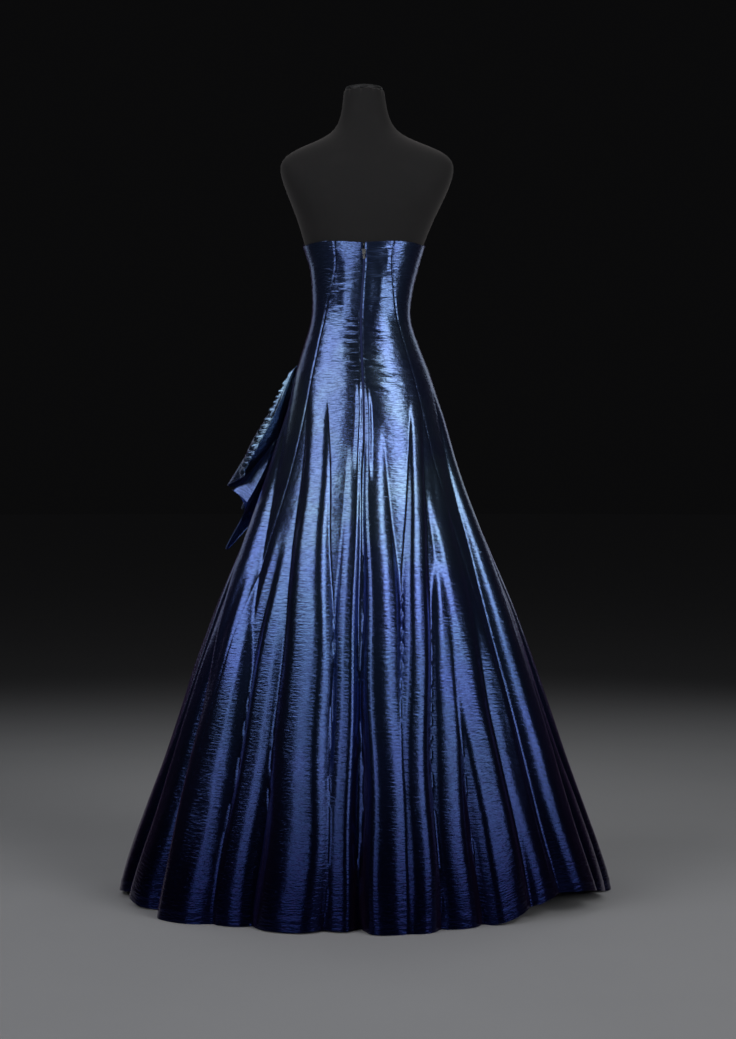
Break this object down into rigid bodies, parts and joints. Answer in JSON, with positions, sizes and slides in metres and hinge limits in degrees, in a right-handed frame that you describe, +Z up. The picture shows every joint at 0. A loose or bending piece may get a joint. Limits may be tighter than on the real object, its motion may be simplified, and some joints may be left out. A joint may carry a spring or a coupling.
{
  "type": "evening gown on a dress form",
  "caption": "Strapless floor-length evening gown in blue shot taffeta, with princess gores, a hip drape and a back zip, on a limbless dress form with a pole and a round base.",
  "frame": {"origin": "the middle of the stand's underside, on the floor", "axes": "+Z up, +Y the way the form faces, +X to its right; the gown's back faces -Y"},
  "size_m": [0.9922, 0.8075, 1.6063],
  "materials": {
    "taffeta": "crisp, shot blue and near-black, with a metallic sheen",
    "form_jersey": "matt black jersey cover",
    "stand_paint": "satin black",
    "zip_chain": "dark blue nylon coil",
    "nickel": "bright nickel"
  },
  "bodies": {
    "gown_on_form": {"centre_front": "taffeta", "side_front_right": "taffeta", "side_front_left": "taffeta", "side_back_right": "taffeta", "side_back_left": "taffeta", "centre_back_right": "taffeta", "centre_back_left": "taffeta", "hip_drape_upper": "taffeta", "hip_drape_lower": "taffeta", "zip_chain": "zip_chain", "zip_slider": "nickel", "hook": "nickel", "eye": "nickel", "form_torso": "form_jersey", "neck_cap": "stand_paint", "pole": "stand_paint", "base_disc": "stand_paint"},
    "pull_tab": {"zip_pull": "nickel"}
  },
  "joints": [
    {"name": "zip_pull_hinge", "type": "hinge", "parent": "gown_on_form", "child": "pull_tab", "pos_m": [0, -0.0966, 1.2718], "axis": [-1, 0, 0], "range_deg": [0, 170]}
  ]
}
